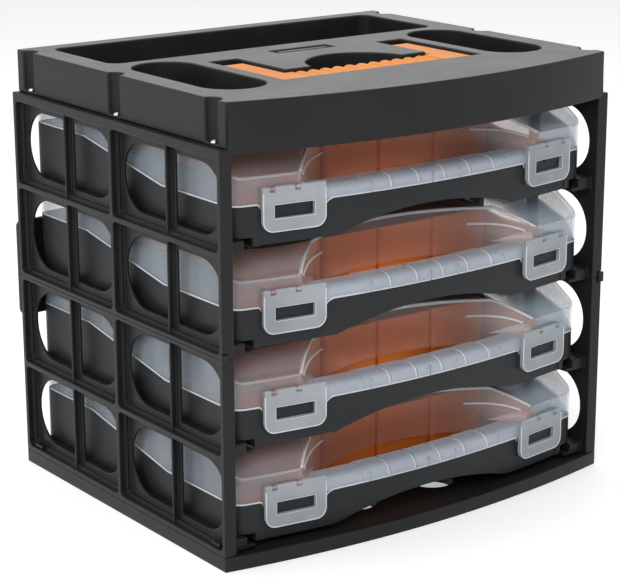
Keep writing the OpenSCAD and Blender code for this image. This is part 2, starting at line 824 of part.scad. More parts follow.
// Band of the plan that the grip bar fills
module grip_plan(grow, inset = 0) {
    difference() {
        intersection() {
            case_plan(inset);
            scoop_plan(grow);
        }
        translate([0, case_cy]) circle(case_r - grip_d + inset, $fn = bow_fn);
    }
}

module prism(z0, z1) {
    translate([0, 0, z0]) linear_extrude(z1 - z0) children();
}

// Space under the parting line
module below_parting() {
    far = rack_d;
    yz_sheet(-rack_w / 2, rack_w / 2)
        polygon([[-far, -cut], [-far, part_front], [part_y0, part_front], [part_y1, part_rear],
            [far, part_rear], [far, -cut]]);
}

// Solid swept around the centre of the bowed front, from a half angle on each side
module bow_sweep(half_angle) {
    translate([0, case_cy, 0]) rotate([0, 0, -90 - half_angle])
        rotate_extrude(angle = 2 * half_angle, $fn = bow_fn) children();
}

module at_front(angle) {
    translate([0, case_cy, 0]) rotate([0, 0, angle]) translate([0, -case_r, 0]) children();
}

module at_hinges() {
    for (x = [-hinge_x, hinge_x])
        translate([x, hinge_y, part_rear]) children();
}

// Base of a case

module case_cavity() {
    divider_x = bin_zone + divider_t / 2 + bin_gap / 2;
    difference() {
        union() {
            prism(floor_t, case_h) intersection() {
                case_plan(case_wall);
                translate([case_wall - step_x, -rack_d]) square([2 * (step_x - case_wall), 2 * rack_d]);
            }
            prism(step_h + floor_t, case_h) case_plan(case_wall);
        }
        prism(-cut, case_h + cut) scoop_plan(case_wall);
        for (x = [-divider_x, divider_x])
            translate([x - divider_t / 2, case_y0 + corner_r, 0])
                cube([divider_t, case_y1 - case_y0 - corner_r, divider_h]);
    }
}

module case_base_shell() {
    difference() {
        intersection() {
            prism(0, part_rear) case_plan();
            below_parting();
        }
        prism(-cut, case_h) scoop_plan();
        case_cavity();
        both_sides() translate([step_x, -rack_d / 2, -cut]) cube([step_w + cut, rack_d, step_h + cut]);
        prism(scoop_wall_h, case_h) intersection() {
            scoop_plan(case_wall + fuse);
            translate([-scoop_low_half, scoop_cy]) square([2 * scoop_low_half, 2 * scoop_r]);
        }
    }
}

module case_grip_bar() {
    difference() {
        prism(0, part_grip) grip_plan(case_wall / 2);
        translate([0, scoop_cy, arch_h - arch_r]) rotate([-90, 0, 0])
            cylinder(r = arch_r, h = 2 * scoop_r, $fn = bow_fn);
        prism(arch_h + floor_t, part_grip + cut) grip_plan(-case_wall, case_wall);
    }
}

// Shallow setback of the front between the corners
module front_relief() {
    prism(-cut, case_h) difference() {
        translate([-relief_half, case_y0 - case_bow - cut]) square([2 * relief_half, case_bow + corner_r]);
        case_plan(relief_d);
    }
}

module latch_catch() {
    z1 = latch_win_z + latch_win_h - catch_top_gap;
    translate([-catch_in, -catch_proud, z1 - catch_h])
        cube([catch_in + latch_win_w / 2 - 2, catch_proud + case_wall / 2 + fuse, catch_h]);
}

module base_knuckle() {
    difference() {
        union() {
            x_rod(-knuckle_len / 2, knuckle_len / 2, knuckle_r);
            translate([-knuckle_len / 2, case_y1 - case_wall / 2 - hinge_y, -knuckle_r - 1])
                cube([knuckle_len, hinge_y - case_y1 + case_wall / 2, knuckle_r + 1]);
        }
        x_rod(-knuckle_len, knuckle_len, hinge_pin_r + seat_fit);
    }
}

module case_base(k) {
    color(case_color) translate([0, 0, case_z(k)]) union() {
        difference() {
            union() {
                case_base_shell();
                case_grip_bar();
            }
            front_relief();
        }
        both_sides() at_front(latch_angle) latch_catch();
        at_hinges() base_knuckle();
    }
}

module hinge_pins(k) {
    color(steel_color) translate([0, 0, case_z(k)]) at_hinges()
        x_rod(-hinge_len / 2, hinge_len / 2, hinge_pin_r);
}

// Bins

module bin(x0, y0, x1, y1) {
    w = bin_wall;
    difference() {
        prism(floor_t, bin_top) round_rect(x0, y0, x1, y1, bin_r);
        prism(floor_t + w, bin_top + cut) round_rect(x0 + w, y0 + w, x1 - w, y1 - w, bin_r - w);
    }
}

module front_bins(k) {
    g = bin_gap / 2;
    color(bin_color) translate([0, 0, case_z(k)])
        for (i = [-2 : 1])
            bin(i * bin_pitch + g, bin_front, (i + 1) * bin_pitch - g, bin_front + bin_depth);
}

module rear_bins(k) {
    g = bin_gap / 2;
    y0 = bin_front + bin_depth + bin_gap;
    color(bin_color) translate([0, 0, case_z(k)])
        for (i = [-1, 0])
            bin(i * bin_zone + g, y0, (i + 1) * bin_zone - g, case_y1 - case_wall - bin_gap);
}

// Lid

module dome_profile(inset) {
    r_in = case_cy - case_y1 - case_bow - corner_r;
    tilt = atan((case_h - crease_z) / slope_run);
    crease = [case_r - inset, crease_z - inset * cos(tilt) / (1 + sin(tilt))];
    brow = [case_r - slope_run - inset * sin(tilt) / (1 + cos(tilt)), case_h - inset];
    polygon([[r_in, -cut], [crease[0], -cut], crease, brow, [r_in, brow[1]]]);
}

module dome(inset) {
    intersection() {
        prism(0, case_h) case_plan(inset);
        bow_sweep(bow_half_angle) dome_profile(inset);
    }
}

// Section of the grip bar, grown or shrunk on its outside
module grip_profile(inset, low) {
    r_in = case_r - grip_d + max(inset, 0);
    r_out = case_r - inset;
    top = grip_top - inset;
    round_c = [case_r - grip_r, grip_top - grip_r];
    translate([r_in, low]) square([r_out - r_in, round_c[1] - low]);
    translate([r_in, low]) square([round_c[0] - r_in, top - low]);
    translate(round_c) intersection() {
        circle(grip_r - inset);
        square(grip_r - inset);
    }
}

module finger_pads() {
    pad_angle = pad_w / case_r * 180 / PI;
    pitch_angle = pad_pitch / case_r * 180 / PI;
    for (i = [0 : pads - 1])
        translate([0, case_cy, 0]) rotate([0, 0, (i - (pads - 1) / 2) * pitch_angle])
            translate([0, -case_cy, 0]) bow_sweep(pad_angle / 2) grip_profile(-pad_proud, part_grip + 2);
}

// Ribs inside the grip bar, placed in pitches of the finger pads
module grip_ribs() {
    rib_at = [-2.22, 0, 1.07, 3];
    intersection() {
        bow_sweep(bow_half_angle) grip_profile(lid_wall / 2, part_grip + part_gap);
        for (n = rib_at)
            at_front(asin(n * pad_pitch / case_r)) translate([-grip_rib_t / 2, 0, 0]) cube([grip_rib_t, grip_d, case_h]);
    }
}

module lid_grip() {
    intersection() {
        union() {
            difference() {
                union() {
                    bow_sweep(bow_half_angle) grip_profile(0, part_grip + part_gap);
                    finger_pads();
                }
                bow_sweep(bow_half_angle) grip_profile(lid_wall, part_grip - cut);
            }
            grip_ribs();
        }
        union() {
            prism(part_front, case_h) scoop_plan(lid_wall / 2);
            prism(0, part_front + fuse) scoop_plan(-rim_gap);
        }
    }
}

module lid_knuckles() {
    for (side = [-1, 1])
        translate([side * (knuckle_len + ear_len + 2 * knuckle_gap) / 2, 0, 0]) difference() {
            union() {
                x_rod(-ear_len / 2, ear_len / 2, knuckle_r);
                translate([-ear_len / 2, case_y1 - lid_wall / 2 - hinge_y, 0])
                    cube([ear_len, hinge_y - case_y1 + lid_wall / 2, knuckle_r + 1]);
            }
            x_rod(-ear_len, ear_len, hinge_pin_r + turn_fit);
        }
}

module latch_lugs() {
    for (x = [lug_in, lug_out])
        translate([x, latch_axis_y, latch_axis_z]) difference() {
            union() {
                x_rod(-lug_w / 2, lug_w / 2, lug_r);
                translate([-lug_w / 2, 0, -lug_r + 0.3])
                    cube([lug_w, lid_wall / 2 + fuse - latch_axis_y, 2 * lug_r - 0.6]);
            }
            x_rod(-lug_w, lug_w, latch_pin_r + seat_fit);
        }
}

module lid(k) {
    color(lid_color) translate([0, 0, case_z(k)]) union() {
        difference() {
            dome(0);
            below_parting();
            difference() {
                dome(lid_wall);
                prism(-cut, case_h + cut) scoop_plan(lid_wall);
            }
            prism(-cut, case_h + cut) scoop_plan();
        }
        lid_grip();
        at_hinges() lid_knuckles();
        both_sides() at_front(latch_angle) latch_lugs();
    }
}

// Latches

module latch_plate_outline() {
    hw = latch_w / 2;
    r = latch_corner_r;
    translate([-hw, latch_low + r]) square([latch_w, latch_axis_z - latch_low - r]);
    translate([r - hw, latch_low]) square([latch_w - 2 * r, r + fuse]);
    for (x = [r - hw, hw - r])
        translate([x, latch_low + r]) circle(r);
}

module latch_body() {
    difference() {
        union() {
            translate([0, -latch_gap, 0]) rotate([90, 0, 0]) linear_extrude(latch_t) latch_plate_outline();
            translate([0, latch_axis_y, latch_axis_z]) x_rod(-latch_w / 2, latch_w / 2, latch_barrel_r);
        }
        translate([-latch_win_w / 2, -latch_gap - latch_t - cut, latch_win_z])
            cube([latch_win_w, latch_t + 2 * cut, latch_win_h]);
        for (x = [lug_in, lug_out])
            translate([x - lug_w / 2 - knuckle_gap, -latch_gap - latch_t - cut, latch_axis_z - lug_notch])
                cube([lug_w + 2 * knuckle_gap, latch_t + 2 * cut, 2 * lug_notch]);
        translate([0, latch_axis_y, latch_axis_z]) x_rod(-latch_w, latch_w, latch_pin_r + turn_fit);
    }
}

module latch_right(k) {
    color(lid_color) translate([0, 0, case_z(k)]) at_front(latch_angle) latch_body();
}

module latch_left(k) {
    color(lid_color) translate([0, 0, case_z(k)]) mirror([1, 0, 0]) at_front(latch_angle) latch_body();
}

module latch_pins(k) {
    color(steel_color) translate([0, 0, case_z(k)]) both_sides() at_front(latch_angle)
        translate([0, latch_axis_y, latch_axis_z]) x_rod(0.5 - latch_w / 2, latch_w / 2 - 0.5, latch_pin_r);
}

base_plate();
left_lower_panel();
left_upper_panel();
right_lower_panel();
right_upper_panel();
seam_clips();
rear_brace();
brace_screws();
top_tray();
tray_screws();
handle_pins();
carry_handle();
for (k = [1:rows]) {
    case_base(k);
    front_bins(k);
    rear_bins(k);
    hinge_pins(k);
    lid(k);
    latch_left(k);
    latch_right(k);
    latch_pins(k);
}
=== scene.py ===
import math

import bmesh
import bpy
from mathutils import Matrix, Vector


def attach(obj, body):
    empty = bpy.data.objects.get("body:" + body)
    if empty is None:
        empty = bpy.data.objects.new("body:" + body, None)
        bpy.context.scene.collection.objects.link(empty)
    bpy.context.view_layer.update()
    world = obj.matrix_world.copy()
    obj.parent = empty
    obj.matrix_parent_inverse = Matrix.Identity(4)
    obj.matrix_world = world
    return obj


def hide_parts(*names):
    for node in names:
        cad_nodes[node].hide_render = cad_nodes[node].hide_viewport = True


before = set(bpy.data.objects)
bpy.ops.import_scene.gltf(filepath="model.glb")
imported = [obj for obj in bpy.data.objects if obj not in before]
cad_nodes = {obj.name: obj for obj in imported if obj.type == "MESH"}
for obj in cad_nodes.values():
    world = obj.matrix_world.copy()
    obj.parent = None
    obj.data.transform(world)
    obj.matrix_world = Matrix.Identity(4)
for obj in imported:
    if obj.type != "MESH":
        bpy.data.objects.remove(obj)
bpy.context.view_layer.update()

# Sizes of the object, in metres
CASE_Z = (0.0153, 0.0943, 0.1753, 0.2563)
ROW_PITCH = 0.081
LOWEST_ROW_Z = CASE_Z[1] - ROW_PITCH
CASE_HALF = 0.182
CASE_REAR_Y = 0.155
CASE_H = 0.071
CORNER_R = 0.012
CORNER_X = CASE_HALF - CORNER_R
BOW_R = 0.92911
BOW_Y = 0.76561
CORNER_Y = BOW_Y - math.sqrt((BOW_R - CORNER_R) ** 2 - CORNER_X ** 2)
PART_REAR_Z = 0.0525
PART_FRONT_Z = 0.0315
PART_GRIP_Z = 0.0301
PART_REAR_Y = 0.070
PART_FRONT_Y = -0.048
LID_WALL = 0.002
CREASE_Z = 0.054
SLOPE_RUN = 0.028
SLOPE = (CASE_H - CREASE_Z) / SLOPE_RUN
SCOOP_R = 0.167
SCOOP_BACK_Y = -0.1005
SCOOP_Y = SCOOP_BACK_Y - SCOOP_R
SCOOP_SPAN = BOW_Y - SCOOP_Y
SCOOP_FRONT = (SCOOP_SPAN ** 2 + SCOOP_R ** 2 - BOW_R ** 2) / (2 * SCOOP_SPAN)
SCOOP_END_X = math.sqrt(SCOOP_R ** 2 - SCOOP_FRONT ** 2)
SCOOP_LIMIT = math.asin(SCOOP_END_X / SCOOP_R)
GRIP_TOP = 0.041
GRIP_ROUND = 0.008
PADS = 5
PAD_PITCH = 0.027
PAD_W = 0.0245
PAD_PROUD = 0.0009
GRIP_RIB_X = (-0.05994, 0.0, 0.02889, 0.081)
GRIP_RIB_Z = (0.0310, 0.0345, 0.0385)
LATCH_X = 0.1315
LATCH_TURN = math.asin(LATCH_X / BOW_R)
LATCH_HALF = 0.0275
LATCH_LOW = 0.0103
LATCH_TOP = 0.0415
LATCH_R = 0.009
LATCH_FACE = 0.0046
LATCH_WINDOW = (0.0175, 0.0208, 0.0315)
BIN_PITCH = 0.059
BIN_GAP = 0.0015
BIN_FRONT_Y = -0.0965
BIN_DEPTH = 0.078
BIN_REAR_Y = 0.151
BIN_TOP = 0.060
BIN_R = 0.004
TRAY_TOP_Z = 0.372
TRAY_SCREW_X = 0.1915
TRAY_SCREW_Y = 0.138
TRAY_SCREW_Z = 0.3385
BRACE_SCREW_X = 0.1945
BRACE_SCREW_Y = 0.1615
BRACE_SCREW_Z = (0.1575, 0.2005)
TRAY_SHANK = 0.0095
BRACE_SHANK = 0.0081
CASE_NUMBERS = range(1, len(CASE_Z) + 1)

# Radii of the beads along edges, in metres
LOWER_BEAD = 0.0007
SCOOP_BEAD = 0.0015
RIB_BEAD = 0.0008
PAD_BEAD = 0.0007
PAD_BEAD_FAINT = 0.0005
CREASE_BEAD = 0.0014
HIGHLIGHT_BEAD = 0.0011
TRIM_BEAD = 0.0006
WINDOW_BEAD = 0.0003
RIM_BEAD = 0.0009

# Ways and angles that several pieces share
UP = Vector((0.0, 0.0, 1.0))
BOW_CENTRE = Vector((0.0, BOW_Y, 0.0))
CORNER_TURN = math.atan2(CORNER_X, BOW_Y - CORNER_Y)
LATCH_OUTER = LATCH_TURN + LATCH_HALF / BOW_R
LATCH_INNER = LATCH_TURN - LATCH_HALF / BOW_R

# Small fillets of a lid beside its latches: angle of the latch's edge, way along the bow, height, radius
LID_TABS = (
    (-LATCH_INNER, 1.0, PART_GRIP_Z, 0.0105),
    (LATCH_INNER, -1.0, PART_GRIP_Z, 0.0035),
    (LATCH_OUTER, 1.0, PART_FRONT_Z, 0.0085),
    (-LATCH_OUTER, -1.0, PART_FRONT_Z, 0.0035),
)

# Camera that matches the photograph: place in metres, turns in degrees, focal length and width in pixels
CAMERA_SPOT = (-1.021, -1.368, 0.643)
CAMERA_YAW = 36.74
CAMERA_PITCH = 15.84
CAMERA_ROLL = -0.17
CAMERA_FOCAL = 2024.0
CAMERA_WIDTH = 620.0
CAMERA_SENSOR = 36.0

# Colours, linear
RACK_BLACK = (0.0125, 0.0127, 0.0130)
RACK_WORN = (0.021, 0.0212, 0.0216)
# Painted sheen: a lighter colour for level faces at the top of the tray, standing in for the grazing
# reflection there
RACK_SHEEN = (0.105, 0.105, 0.106)
CASE_GREY = (0.0165, 0.0190, 0.0205)
CASE_WORN = (0.027, 0.0305, 0.0325)
LID_MILKY = (0.59, 0.68, 0.78)
LID_CLOUDY = (0.67, 0.75, 0.83)
# Painted warm glow of orange light from the bins, on the wall and the hollow ends of the scoop
WALL_GLOW_WARM = (0.86, 0.64, 0.61)
GRIP_MILKY = (0.70, 0.77, 0.88)
# Painted glow on the left flank of the lid's front, rosy below and mauve above, and painted shade on the
# right flank
FLANK_GLOW_ROSE = (0.54, 0.37, 0.375)
FLANK_GLOW_MAUVE = (0.50, 0.47, 0.50)
FLANK_SHADE_SLATE = (0.40, 0.48, 0.56)
# Painted highlight lines on the wall of the scoop
SCOOP_HIGHLIGHT_PALE = (0.98, 0.90, 0.88)
LATCH_GREY = (0.55, 0.60, 0.65)
LATCH_CLOUDY = (0.62, 0.67, 0.71)
# Pale colours that paint highlights on beads along edges, rims and creases
PALE_HIGHLIGHT = (0.84, 0.87, 0.90)
PALE_HIGHLIGHT_CLOUDY = (0.90, 0.92, 0.94)
BIN_ORANGE = (0.90, 0.215, 0.032)
BIN_DEEP = (0.76, 0.170, 0.024)
HANDLE_ORANGE = (0.75, 0.240, 0.012)
HANDLE_DEEP = (0.66, 0.190, 0.010)
STEEL = (0.62, 0.63, 0.65)
STEEL_DULL = (0.42, 0.43, 0.45)


# Materials

def start_material(name):
    material = bpy.data.materials.new(name)
    material.use_nodes = True
    tree = material.node_tree
    return material, tree, tree.nodes["Principled BSDF"]


def place(tree):
    """Place on the object, in metres."""
    return tree.nodes.new("ShaderNodeTexCoord").outputs["Object"]


def noise(tree, coordinates, scale, detail=3.0, roughness=0.5, distortion=0.0):
    node = tree.nodes.new("ShaderNodeTexNoise")
    node.inputs["Scale"].default_value = scale
    node.inputs["Detail"].default_value = detail
    node.inputs["Roughness"].default_value = roughness
    node.inputs["Distortion"].default_value = distortion
    tree.links.new(coordinates, node.inputs["Vector"])
    return node.outputs["Fac"]


def spread(tree, value, low, high, to_low, to_high, smooth=False):
    """Value mapped from one span to another and held at the ends."""
    node = tree.nodes.new("ShaderNodeMapRange")
    node.interpolation_type = "SMOOTHSTEP" if smooth else "LINEAR"
    node.inputs["From Min"].default_value = low
    node.inputs["From Max"].default_value = high
    node.inputs["To Min"].default_value = to_low
    node.inputs["To Max"].default_value = to_high
    tree.links.new(value, node.inputs["Value"])
    return node.outputs["Result"]


def blend_colours(tree, share, colour, other):
    node = tree.nodes.new("ShaderNodeMix")
    node.data_type = "RGBA"
    ends = [socket for socket in node.inputs if socket.type == "RGBA"]
    for socket, value in zip(ends, (colour, other)):
        if isinstance(value, tuple):
            socket.default_value = (*value, 1.0)
        else:
            tree.links.new(value, socket)
    tree.links.new(share, node.inputs["Factor"])
    return [socket for socket in node.outputs if socket.type == "RGBA"][0]


def calculate(tree, operation, first, second=0.0):
    node = tree.nodes.new("ShaderNodeMath")
    node.operation = operation
    for socket, value in zip(node.inputs, (first, second)):
        if isinstance(value, (int, float)):
            socket.default_value = value
        else:
            tree.links.new(value, socket)
    return node.outputs["Value"]


def axis_part(tree, vector, axis):
    split = tree.nodes.new("ShaderNodeSeparateXYZ")
    tree.links.new(vector, split.inputs["Vector"])
    return split.outputs[axis]


def painted_sheen_share(tree, where, scuffs):
    """Share of painted sheen on level faces at the top of the tray, patchy with the scuffs: a lighter
    colour that stands in for the reflection seen there.
    """
    facing = axis_part(tree, tree.nodes.new("ShaderNodeNewGeometry").outputs["Normal"], "Z")
    level = spread(tree, facing, 0.80, 0.99, 0.0, 1.0, True)
    height = axis_part(tree, where, "Z")
    high = spread(tree, height, TRAY_TOP_Z - 0.004, TRAY_TOP_Z - 0.001, 0.0, 1.0, True)
    patchy = spread(tree, scuffs, 0.3, 0.7, 0.75, 1.0)
    return calculate(tree, "MULTIPLY", calculate(tree, "MULTIPLY", level, high), patchy)


def bump(tree, height, distance, strength=1.0, under=None):
    node = tree.nodes.new("ShaderNodeBump")
    node.inputs["Distance"].default_value = distance
    node.inputs["Strength"].default_value = strength
    tree.links.new(height, node.inputs["Height"])
    if under is not None:
        tree.links.new(under, node.inputs["Normal"])
    return node.outputs["Normal"]


def moulded_plastic(name, colour, worn, roughness, grain, relief, specular=0.5, top_sheen=None):
    """Plastic with a moulded grain, faint flow marks and scuffs, and where given a painted sheen on level
    faces at the top of the tray.
    """
    material, tree, shader = start_material(name)
    where = place(tree)
    flow = noise(tree, where, 11.0, 4.0, 0.6, 0.8)
    scuffs = noise(tree, where, 70.0, 6.0, 0.7, 1.5)
    fine = noise(tree, where, grain, 2.0, 0.5)
    share = spread(tree, flow, 0.40, 0.75, 0.0, 0.55)
    marked = calculate(tree, "ADD", share, spread(tree, scuffs, 0.58, 0.80, 0.0, 0.45))
    tint = blend_colours(tree, marked, colour, worn)
    if top_sheen:
        # Painted sheen on level faces at the top of the tray
        tint = blend_colours(tree, painted_sheen_share(tree, where, scuffs), tint, top_sheen)
    tree.links.new(tint, shader.inputs["Base Color"])
    broad = spread(tree, flow, 0.3, 0.7, roughness - 0.05, roughness + 0.05)
    uneven = calculate(tree, "ADD", broad, spread(tree, fine, 0.3, 0.7, -0.04, 0.04))
    tree.links.new(uneven, shader.inputs["Roughness"])
    wave = bump(tree, noise(tree, where, 26.0, 1.0, 0.4), 0.00025, 0.5)
    tree.links.new(bump(tree, fine, relief, 1.0, wave), shader.inputs["Normal"])
    shader.inputs["Specular IOR Level"].default_value = specular
    return material


def cloudy_plastic(name, colour, other, clear, cloudy, roughness):
    """Translucent plastic with faint clouds and a fine grain."""
    material, tree, shader = start_material(name)
    where = place(tree)
    flow = noise(tree, where, 12.0, 3.0, 0.5, 0.6)
    fine = noise(tree, where, 900.0, 2.0, 0.5)
    share = spread(tree, flow, 0.35, 0.70, 0.0, 1.0)
    tree.links.new(blend_colours(tree, share, colour, other), shader.inputs["Base Color"])
    tree.links.new(spread(tree, flow, 0.3, 0.7, clear, cloudy), shader.inputs["Alpha"])
    uneven = spread(tree, fine, 0.3, 0.7, roughness - 0.04, roughness + 0.04)
    tree.links.new(uneven, shader.inputs["Roughness"])
    tree.links.new(bump(tree, fine, 0.000008), shader.inputs["Normal"])
    shader.inputs["Specular IOR Level"].default_value = 0.8
    return material


def scoop_shares(tree, x, y):
    """Shares of the grip inside the scoop, of the dome outside it and of the wall between them."""
    along = calculate(tree, "SUBTRACT", y, SCOOP_Y)
    across = calculate(tree, "MULTIPLY", x, x)
    squares = calculate(tree, "ADD", calculate(tree, "MULTIPLY", along, along), across)
    reach = calculate(tree, "SQRT", squares)
    outer_r = SCOOP_R + LID_WALL
    grip = spread(tree, reach, SCOOP_R - 0.0012, SCOOP_R - 0.0004, 1.0, 0.0, True)
    dome = spread(tree, reach, outer_r + 0.0003, outer_r + 0.0011, 0.0, 1.0, True)
    wall = calculate(tree, "SUBTRACT", calculate(tree, "SUBTRACT", 1.0, grip), dome)
    return grip, dome, wall


def flank_share(tree, y, aside, height, to_right):
    """Share of the dome's front beside the scoop, where the painted glow and shade go, with an edge that
    leans inward on the right.
    """
    front = spread(tree, y, -0.110, -0.070, 1.0, 0.0, True)
    lean = calculate(tree, "MULTIPLY", to_right, spread(tree, height, PART_FRONT_Z, CASE_H, 0.0, 0.028))
    inward = calculate(tree, "SUBTRACT", calculate(tree, "SUBTRACT", CASE_HALF - 0.002, lean), aside)
    within = spread(tree, inward, -0.002, 0.004, 0.0, 1.0, True)
    flank = calculate(tree, "MULTIPLY", within, spread(tree, aside, 0.098, 0.122, 0.0, 1.0, True))
    return calculate(tree, "MULTIPLY", front, flank)


def lid_plastic(name):
    """Translucent plastic of a lid: cloudy on the grip, clear on the wall of the scoop with a painted warm
    glow there, a painted rosy glow on the left flank of the front and painted shade on the right flank.
    """
    material, tree, shader = start_material(name)
    where = place(tree)
    flow = noise(tree, where, 12.0, 3.0, 0.5, 0.6)
    fine = noise(tree, where, 900.0, 2.0, 0.5)
    x, y, z = (axis_part(tree, where, axis) for axis in "XYZ")
    aside = calculate(tree, "ABSOLUTE", x)
    to_right = spread(tree, x, -0.05, 0.05, 0.0, 1.0)
    height = calculate(tree, "MODULO", calculate(tree, "SUBTRACT", z, LOWEST_ROW_Z), ROW_PITCH)
    grip, dome, wall = scoop_shares(tree, x, y)
    outer = flank_share(tree, y, aside, height, to_right)

    clouds = spread(tree, flow, 0.35, 0.70, 0.0, 1.0)
    tint = blend_colours(tree, clouds, LID_MILKY, LID_CLOUDY)
    # Painted glow on the left flank, rosier towards the bottom, and painted shade on the right flank
    low = spread(tree, height, 0.037, 0.050, 1.0, 0.45, True)
    flank_glow = blend_colours(tree, low, FLANK_GLOW_MAUVE, FLANK_GLOW_ROSE)
    tint = blend_colours(tree, outer, tint, blend_colours(tree, to_right, flank_glow, FLANK_SHADE_SLATE))
    tint = blend_colours(tree, grip, tint, GRIP_MILKY)
    # Painted warm glow on the wall of the scoop
    tree.links.new(blend_colours(tree, wall, tint, WALL_GLOW_WARM), shader.inputs["Base Color"])

    beside = calculate(tree, "MULTIPLY", outer, spread(tree, to_right, 0.0, 1.0, 0.12, 0.38))
    above = spread(tree, height, CREASE_Z + 0.001, CREASE_Z + 0.004, 0.0, 0.12, True)
    brow = calculate(tree, "MULTIPLY", outer, above)
    clear = spread(tree, flow, 0.3, 0.7, 0.22, 0.28)
    haze = calculate(tree, "ADD", calculate(tree, "ADD", clear, beside), brow)
    dome_opacity = calculate(tree, "MULTIPLY", dome, haze)
    wall_opacity = calculate(tree, "MULTIPLY", wall, spread(tree, aside, 0.070, 0.112, 0.13, 0.34, True))
    grip_opacity = calculate(tree, "MULTIPLY", grip, spread(tree, flow, 0.3, 0.7, 0.46, 0.54))
    opacity = calculate(tree, "ADD", calculate(tree, "ADD", dome_opacity, wall_opacity), grip_opacity)
    tree.links.new(opacity, shader.inputs["Alpha"])
    tree.links.new(spread(tree, fine, 0.3, 0.7, 0.14, 0.20), shader.inputs["Roughness"])
    tree.links.new(bump(tree, fine, 0.000008), shader.inputs["Normal"])
    shader.inputs["Specular IOR Level"].default_value = 0.8
    return material


def turned_steel(name):
    """Bright steel with fine drawn lines and dull patches."""
    material, tree, shader = start_material(name)
    where = place(tree)
    patches = noise(tree, where, 300.0, 4.0, 0.6, 0.6)
    lines = noise(tree, where, 2600.0, 2.0, 0.5)
    share = spread(tree, patches, 0.35, 0.75, 0.0, 1.0)
    tree.links.new(blend_colours(tree, share, STEEL, STEEL_DULL), shader.inputs["Base Color"])
    tree.links.new(spread(tree, lines, 0.3, 0.7, 0.22, 0.38), shader.inputs["Roughness"])
    tree.links.new(bump(tree, lines, 0.00001), shader.inputs["Normal"])
    shader.inputs["Metallic"].default_value = 1.0
    return material


# The rack's black takes a painted sheen on level faces at the top of the tray
rack_black = moulded_plastic("rack_black", RACK_BLACK, RACK_WORN, 0.40, 1500.0, 0.000022, 0.22, RACK_SHEEN)
case_grey = moulded_plastic("case_grey", CASE_GREY, CASE_WORN, 0.42, 1300.0, 0.000022, 0.22)
bin_orange = moulded_plastic("bin_orange", BIN_ORANGE, BIN_DEEP, 0.42, 1100.0, 0.000018, 0.3)
handle_orange = moulded_plastic("handle_orange", HANDLE_ORANGE, HANDLE_DEEP, 0.38, 1500.0, 0.000020, 0.25)
lid_milky = lid_plastic("lid_milky")
latch_milky = cloudy_plastic("latch_milky", LATCH_GREY, LATCH_CLOUDY, 0.40, 0.50, 0.22)
# Pale materials that paint highlights on beads along edges and creases
edge_highlight_milky = cloudy_plastic("edge_highlight_milky", PALE_HIGHLIGHT, PALE_HIGHLIGHT_CLOUDY, 0.66, 0.80, 0.20)
# Real rounded creases, with a paler colour that paints a faint highlight along them
crease_highlight_milky = cloudy_plastic("crease_highlight_milky", LID_CLOUDY, PALE_HIGHLIGHT, 0.20, 0.28, 0.16)
# Painted warm glow on the hollow ends of the scoop
bowl_glow_milky = cloudy_plastic("bowl_glow_milky", WALL_GLOW_WARM, PALE_HIGHLIGHT, 0.24, 0.34, 0.14)
# Painted highlight lines on the wall of the scoop
scoop_highlight_milky = cloudy_plastic("scoop_highlight_milky", SCOOP_HIGHLIGHT_PALE, PALE_HIGHLIGHT_CLOUDY, 0.62, 0.80, 0.14)
steel = turned_steel("steel")


# Finish of the solids: material, then width and steps of the rounded edges, then the least angle of an edge

FINISH = {
    "base_plate": (rack_black, 0.0007, 2, 35.0),
    "left_lower_panel": (rack_black, 0.0007, 2, 35.0),
    "left_upper_panel": (rack_black, 0.0007, 2, 35.0),
    "right_lower_panel": (rack_black, 0.0007, 2, 35.0),
    "right_upper_panel": (rack_black, 0.0007, 2, 35.0),
    "seam_clips": (rack_black, 0.0012, 3, 35.0),
    "rear_brace": (rack_black, 0.0008, 2, 35.0),
    "top_tray": (rack_black, 0.0014, 3, 40.0),
    "handle_pins": (steel, 0.0003, 2, 35.0),
    "carry_handle": (handle_orange, 0.0014, 3, 65.0),
}
CASE_FINISH = {
    "base": (case_grey, 0.0005, 2, 35.0),
    "front_bins": (bin_orange, 0.0004, 2, 35.0),
    "rear_bins": (bin_orange, 0.0004, 2, 35.0),
    "hinge_pins": (steel, 0.0002, 2, 35.0),
    "lid": (lid_milky, 0.0004, 2, 40.0),
    "latch_left": (latch_milky, 0.0007, 2, 35.0),
    "latch_right": (latch_milky, 0.0007, 2, 35.0),
    "latch_pins": (steel, 0.0002, 2, 35.0),
}
for number in CASE_NUMBERS:
    for part_name, settings in CASE_FINISH.items():
        FINISH[f"case_{number}_{part_name}"] = settings


def round_edges(piece, width, steps, least_angle):
    """Rounded edges with even shading; the pointed ends of a lid's grip hold its width back."""
    join_gap = 0.000005
    weld = piece.modifiers.new("join_faces", "WELD")
    weld.merge_threshold = join_gap
    bevel = piece.modifiers.new("round_edges", "BEVEL")
    bevel.width = width
    bevel.segments = steps
    bevel.limit_method = "ANGLE"
    bevel.angle_limit = math.radians(least_angle)
    bevel.use_clamp_overlap = piece.name.endswith("_lid")
    bevel.loop_slide = piece.name.startswith("case_")
    shade = piece.modifiers.new("even_normals", "WEIGHTED_NORMAL")
    shade.keep_sharp = True


def finish_solid(piece, material, width, steps, least_angle):
    piece.data.materials.clear()
    piece.data.materials.append(material)
    round_edges(piece, width, steps, least_angle)


for node_name, settings in FINISH.items():
    finish_solid(cad_nodes[node_name], *settings)


# Added pieces

def add_piece(name, mesh_builder, material, body):
    mesh = bpy.data.meshes.new(name)
    shape = bmesh.new()
    mesh_builder(shape)
    bmesh.ops.recalc_face_normals(shape, faces=shape.faces)
    shape.to_mesh(mesh)
    shape.free()
    for face in mesh.polygons:
        face.use_smooth = True
    piece = bpy.data.objects.new(name, mesh)
    bpy.context.scene.collection.objects.link(piece)
    mesh.materials.append(material)
    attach(piece, body)
    return piece


